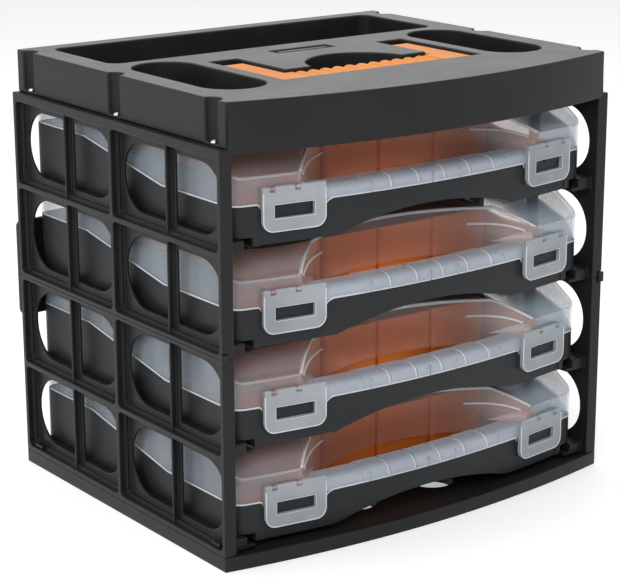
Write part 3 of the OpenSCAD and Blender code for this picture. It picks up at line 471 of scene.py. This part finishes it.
def join_rings(shape, rings, closed=False):
    """Faces between rings of points, and from the last ring to the first where they close."""
    pairs = list(zip(rings, rings[1:]))
    if closed:
        pairs.append((rings[-1], rings[0]))
    for ring, following in pairs:
        count = len(ring)
        for i in range(count):
            j = (i + 1) % count
            shape.faces.new((ring[i], ring[j], following[j], following[i]))


def close_ends(shape, rings):
    shape.faces.new(rings[0])
    shape.faces.new(rings[-1])


def sweep(shape, path, section, closed=False):
    """Bead along a path of (point, outward, up), with a closed section of (outward, up) offsets."""
    rings = []
    for point, outward, up in path:
        rings.append([shape.verts.new(point + outward * a + up * b) for a, b in section])
    join_rings(shape, rings, closed)
    if not closed:
        close_ends(shape, rings)


def bow_way(turn):
    """Way out of the bowed front at an angle from its middle."""
    return Vector((math.sin(turn), -math.cos(turn), 0.0))


def bow_place(turn, z, proud=0.0):
    """Point on the bowed front of a case, with the way out of it."""
    way = bow_way(turn)
    return BOW_CENTRE + way * (BOW_R + proud) + UP * z, way, UP


def half_round(radius, root):
    """Section of a bead that stands on a face, with its root sunk into it."""
    steps = 6
    flatness = 0.75
    section = [(-root, 0.0)]
    for i in range(steps + 1):
        turn = -math.pi / 2 + math.pi * i / steps
        section.append((flatness * radius * math.cos(turn), radius * (1.0 + math.sin(turn))))
    section.append((-root, 2.0 * radius))
    return section


def full_round(radius, sides=10):
    """Round section of a bead."""
    turns = [2 * math.pi * i / sides for i in range(sides)]
    return [(radius * math.cos(turn), radius * math.sin(turn)) for turn in turns]


def corner_places(side, z, steps=10):
    """Points round a front corner of a case, from its side to its bowed front."""
    end = math.atan2(BOW_Y - CORNER_Y, CORNER_X)
    centre = Vector((side * CORNER_X, CORNER_Y, z))
    places = []
    for i in range(steps + 1):
        turn = end * i / steps
        way = Vector((side * math.cos(turn), -math.sin(turn), 0.0))
        places.append((centre + way * CORNER_R, way, UP))
    return places


def tab_curve(tab, steps=10):
    """Angles and heights down the edge of a fillet, from its far end to the latch."""
    turn, way, z, radius = tab
    curve = []
    for i in range(steps + 1):
        share = math.pi / 2 * i / steps
        reach = radius - radius * math.sin(share)
        drop = radius - radius * math.cos(share)
        curve.append((turn + way * reach / BOW_R, z - drop))
    return curve


def tab_plate(shape, tab, z0):
    """Thin plate that fills a fillet."""
    turn, way, z, radius = tab
    lap = 0.0004
    back, face = 0.00005, 0.00045
    outline = tab_curve(tab) + [(turn, z + lap)]
    rings = []
    for proud in (back, face):
        rings.append([shape.verts.new(bow_place(a, z0 + h, proud)[0]) for a, h in outline])
    join_rings(shape, rings)
    close_ends(shape, rings)


def side_edge_path(side, z0):
    """Lower edge of the lid from the rear corner, along one side, to the latch."""
    path = []
    out = Vector((side, 0.0, 0.0))
    rear_y = CASE_REAR_Y - CORNER_R
    for y, z in ((rear_y, PART_REAR_Z), (PART_REAR_Y, PART_REAR_Z), (PART_FRONT_Y, PART_FRONT_Z)):
        path.append((Vector((side * CASE_HALF, y, z0 + z)), out, UP))
    path += corner_places(side, z0 + PART_FRONT_Z)
    tab = LID_TABS[2] if side > 0 else LID_TABS[3]
    path += [bow_place(turn, z0 + z) for turn, z in tab_curve(tab)]
    return path


def grip_edge_path(z0):
    """Lower edge of the lid's grip from latch to latch."""
    left = [bow_place(turn, z0 + z) for turn, z in reversed(tab_curve(LID_TABS[0]))]
    right = [bow_place(turn, z0 + z) for turn, z in tab_curve(LID_TABS[1])]
    first = LID_TABS[0][0] + LID_TABS[0][3] / BOW_R
    last = LID_TABS[1][0] - LID_TABS[1][3] / BOW_R
    steps = 40
    middle = [bow_place(first + (last - first) * i / steps, z0 + PART_GRIP_Z) for i in range(1, steps)]
    return left + middle + right


def lid_height(reach):
    """Height and slope of the lid at a distance from the middle of the bow."""
    inside = BOW_R - reach
    if inside >= SLOPE_RUN:
        return CASE_H, Vector((0.0, 1.0))
    return CREASE_Z + inside * SLOPE, Vector((SLOPE, 1.0)).normalized()


def scoop_edge_path(z0, sink):
    """Upper edge of the scoop, where it cuts the top of the lid."""
    path = []
    steps = 120
    end_gap = 0.007
    limit = SCOOP_LIMIT - end_gap
    for i in range(steps + 1):
        turn = limit * (2.0 * i / steps - 1.0)
        way = Vector((math.sin(turn), math.cos(turn), 0.0))
        point = Vector((0.0, SCOOP_Y, 0.0)) + way * SCOOP_R
        arm = Vector((point.x, point.y - BOW_Y, 0.0))
        height, slope = lid_height(arm.length)
        normal = arm.normalized() * slope.x + UP * slope.y
        point.z = z0 + height
        path.append((point + way * sink - normal * sink, way, normal))
    return path


def crease_path(side, z0):
    """Crease of the lid from its scoop, along the front and round the corner, up to the top."""
    path = []
    steps = 12
    side_steps = 4
    scoop_gap = 0.0017
    inset, sink = 0.0009, 0.0007
    first = math.asin((SCOOP_END_X + scoop_gap) / BOW_R)
    for i in range(steps):
        turn = first + (CORNER_TURN - first) * i / steps
        path.append(bow_place(side * turn, z0 + CREASE_Z))
    path += reversed(corner_places(side, z0))
    end_y = BOW_Y - math.sqrt((BOW_R - SLOPE_RUN) ** 2 - CASE_HALF ** 2)
    for i in range(1, side_steps + 1):
        y = CORNER_Y + (end_y - CORNER_Y) * i / side_steps
        path.append((Vector((side * CASE_HALF, y, z0)), Vector((side, 0.0, 0.0)), UP))
    raised = []
    for point, way, up in path:
        reach = math.hypot(point.x, point.y - BOW_Y)
        edge = Vector((point.x, point.y, z0 + lid_height(reach)[0]))
        raised.append((edge - way * inset - up * sink, way, up))
    return raised


def highlight_line_path(side, z0):
    """Line of a painted highlight on the wall of the scoop, near one end."""
    path = []
    steps = 24
    first, run = 0.57, 0.36
    start_z, drop = 0.0565, 0.0065
    sink = 0.0003
    for i in range(steps + 1):
        share = i / steps
        turn = SCOOP_LIMIT * (first + run * share)
        way = Vector((side * math.sin(turn), math.cos(turn), 0.0))
        point = Vector((0.0, SCOOP_Y, z0 + start_z - drop * share ** 3)) + way * (SCOOP_R + sink)
        path.append((point, way, UP))
    return path


def grip_height(reach):
    """Height of the top of the grip at a distance from the middle of the bow."""
    step = max(reach - (BOW_R - GRIP_ROUND), 0.0)
    step = min(step, GRIP_ROUND)
    return GRIP_TOP - GRIP_ROUND + math.sqrt(GRIP_ROUND ** 2 - step ** 2)


def bowl_end(shape, side, z0):
    """Hollow fillet between the grip and the wall of the scoop, growing towards the end."""
    rings = []
    steps = 24
    arc = 8
    first, run = 0.72, 0.26
    least, growth = 0.0008, 0.0085
    root = -0.0003
    for i in range(steps + 1):
        share = i / steps
        turn = SCOOP_LIMIT * (first + run * share)
        inward = Vector((-side * math.sin(turn), -math.cos(turn), 0.0))
        corner = Vector((0.0, SCOOP_Y, 0.0)) - inward * SCOOP_R
        corner.z = z0 + grip_height(math.hypot(corner.x, corner.y - BOW_Y))
        radius = least + growth * math.sin(math.pi / 2 * share) ** 1.5
        section = [(root, root), (radius, root)]
        for j in range(arc + 1):
            angle = math.pi / 2 * j / arc
            section.append((radius - radius * math.sin(angle), radius - radius * math.cos(angle)))
        section.append((root, radius))
        rings.append([shape.verts.new(corner + inward * a + UP * b) for a, b in section])
    join_rings(shape, rings)
    close_ends(shape, rings)


def pad_edge_path(turn, z0):
    """Line over the grip at one end of a finger pad."""
    way = bow_way(turn)
    along = Vector((math.cos(turn), math.sin(turn), 0.0))
    sink, drop, back = 0.0002, 0.0007, 0.010
    radius = GRIP_ROUND + PAD_PROUD - sink
    centre = BOW_CENTRE + way * (BOW_R - GRIP_ROUND) + UP * (z0 + GRIP_TOP - GRIP_ROUND)
    path = [(centre + way * radius - UP * drop, way, along)]
    steps = 10
    for i in range(steps + 1):
        angle = math.pi / 2 * i / steps
        out = way * math.cos(angle) + UP * math.sin(angle)
        path.append((centre + out * radius, out, along))
    path.append((centre - way * back + UP * radius, UP, along))
    return path


def rib_path(x, z0):
    """Line down the front of the grip where a rib joins it."""
    turn = math.asin(x / BOW_R)
    sink = 0.0001
    on_pad = any(abs(x - PAD_PITCH * (i - PADS // 2)) < PAD_W / 2 for i in range(PADS))
    proud = PAD_PROUD - sink if on_pad else -sink
    return [bow_place(turn, z0 + z, proud) for z in GRIP_RIB_Z]


def lid_edges(number):
    """Beads along the lower edges of a lid, the rim of its scoop, its ribs and the right edges of its
    finger pads, which carry painted highlights.
    """
    z0 = CASE_Z[number - 1]
    bead = half_round(LOWER_BEAD, 0.0004)

    def build(shape):
        sweep(shape, side_edge_path(-1.0, z0), bead)
        sweep(shape, side_edge_path(1.0, z0), bead)
        sweep(shape, grip_edge_path(z0), bead)
        sweep(shape, scoop_edge_path(z0, 0.0009), full_round(SCOOP_BEAD, 12))
        for x in GRIP_RIB_X:
            sweep(shape, rib_path(x, z0), full_round(RIB_BEAD, 8))
        for i in range(PADS):
            edge = (i - PADS // 2) * PAD_PITCH + PAD_W / 2
            sweep(shape, pad_edge_path(edge / BOW_R, z0), full_round(PAD_BEAD, 8))

    return build


def lid_creases(number):
    """Soft creases of a lid, left edges of its finger pads and fillets beside its latches, in a paler
    colour that paints a faint highlight.
    """
    z0 = CASE_Z[number - 1]

    def build(shape):
        for side in (-1.0, 1.0):
            sweep(shape, crease_path(side, z0), full_round(CREASE_BEAD, 12))
        for i in range(PADS):
            edge = (i - PADS // 2) * PAD_PITCH - PAD_W / 2
            sweep(shape, pad_edge_path(edge / BOW_R, z0), full_round(PAD_BEAD_FAINT, 8))
        for tab in LID_TABS:
            tab_plate(shape, tab, z0)

    return build


def scoop_folds(number):
    """Hollow ends of a scoop."""
    z0 = CASE_Z[number - 1]

    def build(shape):
        for side in (-1.0, 1.0):
            bowl_end(shape, side, z0)

    return build


def scoop_highlights(number):
    """Painted highlight lines on the wall of a scoop, drawn as thin beads."""
    z0 = CASE_Z[number - 1]

    def build(shape):
        for side in (-1.0, 1.0):
            sweep(shape, highlight_line_path(side, z0), full_round(HIGHLIGHT_BEAD))

    return build


def latch_place(side, x, z, proud):
    """Point on a latch, by its own width and height, with the way out of its face."""
    way = bow_way(LATCH_TURN)
    along = Vector((math.cos(LATCH_TURN), math.sin(LATCH_TURN), 0.0))
    point = BOW_CENTRE + way * (BOW_R + proud) + along * x + UP * z
    return Vector((side * point.x, point.y, point.z)), Vector((side * way.x, way.y, 0.0))


def round_corner(x, z, first, radius, steps=8):
    """Quarter turn about a point, from its first angle in degrees."""
    turns = [math.radians(first + 90.0 * i / steps) for i in range(steps + 1)]
    return [(x + radius * math.cos(turn), z + radius * math.sin(turn)) for turn in turns]


def latch_trim(number, side):
    """Thin rim along the edges of a latch and round its window, which carries painted highlights."""
    z0 = CASE_Z[number - 1]
    inset = 0.0005
    half = LATCH_HALF - inset
    low = LATCH_LOW + inset
    radius = LATCH_R - inset
    outline = [(-half, LATCH_TOP)]
    outline += round_corner(-half + radius, low + radius, 180.0, radius)
    outline += round_corner(half - radius, low + radius, 270.0, radius)
    outline.append((half, LATCH_TOP))
    win_half, win_low, win_high = LATCH_WINDOW
    grow = 0.0003
    win_r = 0.0009
    window = []
    for x, z, first in ((-1, 0, 180.0), (1, 0, 270.0), (1, 1, 0.0), (-1, 1, 90.0)):
        corner_x = x * (win_half + grow - win_r)
        corner_z = win_high + grow - win_r if z else win_low - grow + win_r
        window += round_corner(corner_x, corner_z, first, win_r, 3)

    def trace(points, proud, closed):
        path = []
        count = len(points)
        for i, (x, z) in enumerate(points):
            before = points[i - 1] if i or closed else points[i]
            after = points[(i + 1) % count] if i < count - 1 or closed else points[i]
            run = Vector((after[0] - before[0], after[1] - before[1])).normalized()
            spot, way = latch_place(side, x, z0 + z, proud)
            beside = latch_place(side, x - run.y, z0 + z + run.x, proud)[0]
            path.append((spot, way, (beside - spot).normalized()))
        return path

    def build(shape):
        sweep(shape, trace(outline, LATCH_FACE - 0.0003, False), full_round(TRIM_BEAD, 8))
        sweep(shape, trace(window, LATCH_FACE - 0.0002, True), full_round(WINDOW_BEAD, 8), True)

    return build


def catch_plates(number):
    """Dark wall of a case behind the windows of its latches."""
    z0 = CASE_Z[number - 1]
    win_half, win_low, win_high = LATCH_WINDOW
    edge = 0.0008
    steps = 4
    turns = [LATCH_TURN + i * (win_half + edge) / steps / BOW_R for i in range(-steps, steps + 1)]
    back, face = 0.0004, 0.00055
    low, high = win_low - edge, win_high + edge
    section = [(back, low), (face, low), (face, high), (back, high)]

    def build(shape):
        for side in (-1, 1):
            sweep(shape, [bow_place(side * turn, z0) for turn in turns], section)

    return build


def rim_path(x0, y0, x1, y1, z):
    """Line round the top of a bin, inside its outer face."""
    path = []
    steps = 6
    inset = 0.0006
    corners = ((x1, y1, 0.0, -1, -1), (x0, y1, 90.0, 1, -1), (x0, y0, 180.0, 1, 1), (x1, y0, 270.0, -1, 1))
    for x, y, first, toward_x, toward_y in corners:
        centre = Vector((x + toward_x * BIN_R, y + toward_y * BIN_R, z))
        for i in range(steps + 1):
            turn = math.radians(first + 90.0 * i / steps)
            way = Vector((math.cos(turn), math.sin(turn), 0.0))
            path.append((centre + way * (BIN_R - inset), way, UP))
    return path


def bin_rims(number):
    """Rims of the four front bins and the two rear bins of a case."""
    z = CASE_Z[number - 1] + BIN_TOP
    half_gap = BIN_GAP / 2
    front_y1 = BIN_FRONT_Y + BIN_DEPTH
    rows = (
        (range(-2, 2), BIN_PITCH, BIN_FRONT_Y, front_y1),
        (range(-1, 1), 2 * BIN_PITCH, front_y1 + BIN_GAP, BIN_REAR_Y),
    )

    def build(shape):
        for columns, pitch, y0, y1 in rows:
            for i in columns:
                path = rim_path(i * pitch + half_gap, y0, (i + 1) * pitch - half_gap, y1, z)
                sweep(shape, path, full_round(RIM_BEAD, 8), True)

    return build


def screw(shape, spot, shank):
    """Pan head with a cross recess, and its shank."""
    sides = 32
    top, floor = 0.0020, 0.0011
    outline = ((0.0015, -shank), (0.0015, 0.0), (0.0028, 0.0), (0.0028, 0.0005), (0.00262, 0.0011),
               (0.0022, 0.00165), (0.0017, top))
    rings = []
    for radius, height in outline:
        points = [Vector((x, y, height)) for x, y in full_round(radius, sides)]
        rings.append([shape.verts.new(spot @ point) for point in points])
    join_rings(shape, rings)
    shape.faces.new(rings[0])
    arm, half, taper = 0.00115, 0.0003, 0.7
    cross = ((half, arm), (half, half), (arm, half), (arm, -half), (half, -half), (half, -arm),
             (-half, -arm), (-half, -half), (-arm, -half), (-arm, half), (-half, half), (-half, arm))
    upper = [shape.verts.new(spot @ Vector((x, y, top))) for x, y in cross]
    lower = [shape.verts.new(spot @ Vector((taper * x, taper * y, floor))) for x, y in cross]
    join_rings(shape, (upper, lower))
    shape.faces.new(lower)
    edges = []
    for ring in (rings[-1], upper):
        count = len(ring)
        edges += [shape.edges.get((ring[i], ring[(i + 1) % count])) for i in range(count)]
    bmesh.ops.triangle_fill(shape, use_beauty=True, use_dissolve=False, edges=edges)


def tray_screw_set(shape):
    for x in (-TRAY_SCREW_X, TRAY_SCREW_X):
        for i, y in enumerate((-TRAY_SCREW_Y, 0.0, TRAY_SCREW_Y)):
            turned = Matrix.Rotation(0.5 + 0.7 * i + 9.0 * x, 4, "Z")
            screw(shape, Matrix.Translation((x, y, TRAY_SCREW_Z)) @ turned, TRAY_SHANK)


def brace_screw_set(shape):
    upright = Matrix.Rotation(math.radians(-90.0), 4, "X")
    for x in (-BRACE_SCREW_X, BRACE_SCREW_X):
        for i, z in enumerate(BRACE_SCREW_Z):
            turned = Matrix.Rotation(0.3 + 0.9 * i + 5.0 * x, 4, "Z")
            screw(shape, Matrix.Translation((x, BRACE_SCREW_Y, z)) @ upright @ turned, BRACE_SHANK)


def crisp_shading(piece):
    """Sharp edges, where faces meet at more than the angle."""
    split = piece.modifiers.new("crisp_edges", "EDGE_SPLIT")
    split.split_angle = math.radians(40.0)


for number in CASE_NUMBERS:
    case = f"case_{number}"
    cover = f"{case}_cover"
    # Beads in pale materials paint highlights along the lid's edges
    add_piece(f"{case}_lid_edges", lid_edges(number), edge_highlight_milky, cover)
    # Paler beads paint a faint highlight along the creases
    add_piece(f"{case}_lid_creases", lid_creases(number), crease_highlight_milky, cover)
    # The hollow ends of the scoop take a painted warm glow
    add_piece(f"{case}_scoop_folds", scoop_folds(number), bowl_glow_milky, cover)
    # Pale beads paint highlight lines on the wall of the scoop
    add_piece(f"{case}_scoop_highlights", scoop_highlights(number), scoop_highlight_milky, cover)
    for side_name, side in (("left", -1.0), ("right", 1.0)):
        trim = latch_trim(number, side)
        # Painted highlights along the edges of the latch
        add_piece(f"{case}_latch_{side_name}_trim", trim, edge_highlight_milky, f"{case}_{side_name}_flap")
    add_piece(f"{case}_bin_rims", bin_rims(number), bin_orange, case)
    plates = add_piece(f"{case}_catch_plates", catch_plates(number), case_grey, case)
    crisp_shading(plates)
tray_screw_heads = add_piece("tray_screw_heads", tray_screw_set, steel, "rack")
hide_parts("tray_screws")
crisp_shading(tray_screw_heads)
brace_screw_heads = add_piece("brace_screw_heads", brace_screw_set, steel, "rack")
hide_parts("brace_screws")
crisp_shading(brace_screw_heads)


# Floor, light and camera

def seen_directly(tree):
    """Whether the camera sees a point itself, in a reflection or through something clear."""
    path = tree.nodes.new("ShaderNodeLightPath")
    first = calculate(tree, "MAXIMUM", path.outputs["Is Camera Ray"], path.outputs["Is Glossy Ray"])
    return calculate(tree, "MAXIMUM", first, path.outputs["Is Transmission Ray"])


def make_floor():
    half = 14.0
    mesh = bpy.data.meshes.new("floor")
    corners = [(-half, -half, 0.0), (half, -half, 0.0), (half, half, 0.0), (-half, half, 0.0)]
    mesh.from_pydata(corners, [], [(0, 1, 2, 3)])
    floor = bpy.data.objects.new("floor", mesh)
    bpy.context.scene.collection.objects.link(floor)
    material, tree, shader = start_material("floor_white")
    shader.inputs["Base Color"].default_value = (0.84, 0.84, 0.84, 1.0)
    shader.inputs["Roughness"].default_value = 0.7
    shader.inputs["Specular IOR Level"].default_value = 0.2
    shader.inputs["Emission Color"].default_value = (1.0, 1.0, 1.0, 1.0)
    glow = spread(tree, seen_directly(tree), 0.0, 1.0, 0.0, 0.42)
    tree.links.new(glow, shader.inputs["Emission Strength"])
    mesh.materials.append(material)


def make_world():
    world = bpy.data.worlds.new("studio")
    bpy.context.scene.world = world
    world.use_nodes = True
    tree = world.node_tree
    light = tree.nodes["Background"]
    light.inputs["Color"].default_value = (1.0, 1.0, 1.0, 1.0)
    light.inputs["Strength"].default_value = 0.40
    white = tree.nodes.new("ShaderNodeBackground")
    white.inputs["Color"].default_value = (1.0, 1.0, 1.0, 1.0)
    white.inputs["Strength"].default_value = 1.0
    mix = tree.nodes.new("ShaderNodeMixShader")
    tree.links.new(seen_directly(tree), mix.inputs["Fac"])
    tree.links.new(light.outputs["Background"], mix.inputs[1])
    tree.links.new(white.outputs["Background"], mix.inputs[2])
    tree.links.new(mix.outputs["Shader"], tree.nodes["World Output"].inputs["Surface"])


def soft_lamp(name, spot, target, width, height, power):
    data = bpy.data.lights.new(name, "AREA")
    data.shape = "RECTANGLE"
    data.size = width
    data.size_y = height
    data.energy = power
    lamp = bpy.data.objects.new(name, data)
    bpy.context.scene.collection.objects.link(lamp)
    lamp.location = spot
    aim = Vector(target) - Vector(spot)
    lamp.rotation_euler = aim.to_track_quat("-Z", "Y").to_euler()


def make_camera():
    yaw = math.radians(CAMERA_YAW)
    pitch = math.radians(CAMERA_PITCH)
    roll = math.radians(CAMERA_ROLL)
    ahead = Vector((math.sin(yaw) * math.cos(pitch), math.cos(yaw) * math.cos(pitch), -math.sin(pitch)))
    right = Vector((math.cos(yaw), -math.sin(yaw), 0.0))
    upward = right.cross(ahead)
    turn = Matrix((right, upward, -ahead)).transposed().to_4x4() @ Matrix.Rotation(roll, 4, "Z")
    data = bpy.data.cameras.new("photo_camera")
    data.sensor_fit = "HORIZONTAL"
    data.sensor_width = CAMERA_SENSOR
    data.lens = CAMERA_SENSOR * CAMERA_FOCAL / CAMERA_WIDTH
    data.clip_end = 60.0
    camera = bpy.data.objects.new("photo_camera", data)
    bpy.context.scene.collection.objects.link(camera)
    camera.matrix_world = Matrix.Translation(CAMERA_SPOT) @ turn
    bpy.context.scene.camera = camera


make_floor()
make_world()
soft_lamp("key_lamp", (-1.5, -1.9, 2.1), (0.0, 0.0, 0.2), 1.8, 1.8, 38.0)
soft_lamp("side_lamp", (-2.4, 0.4, 1.2), (0.0, 0.0, 0.2), 1.4, 1.4, 16.0)
soft_lamp("top_lamp", (0.2, 0.6, 2.6), (0.0, 0.0, 0.3), 2.2, 1.6, 26.0)
make_camera()
bpy.context.scene.view_settings.view_transform = "Standard"
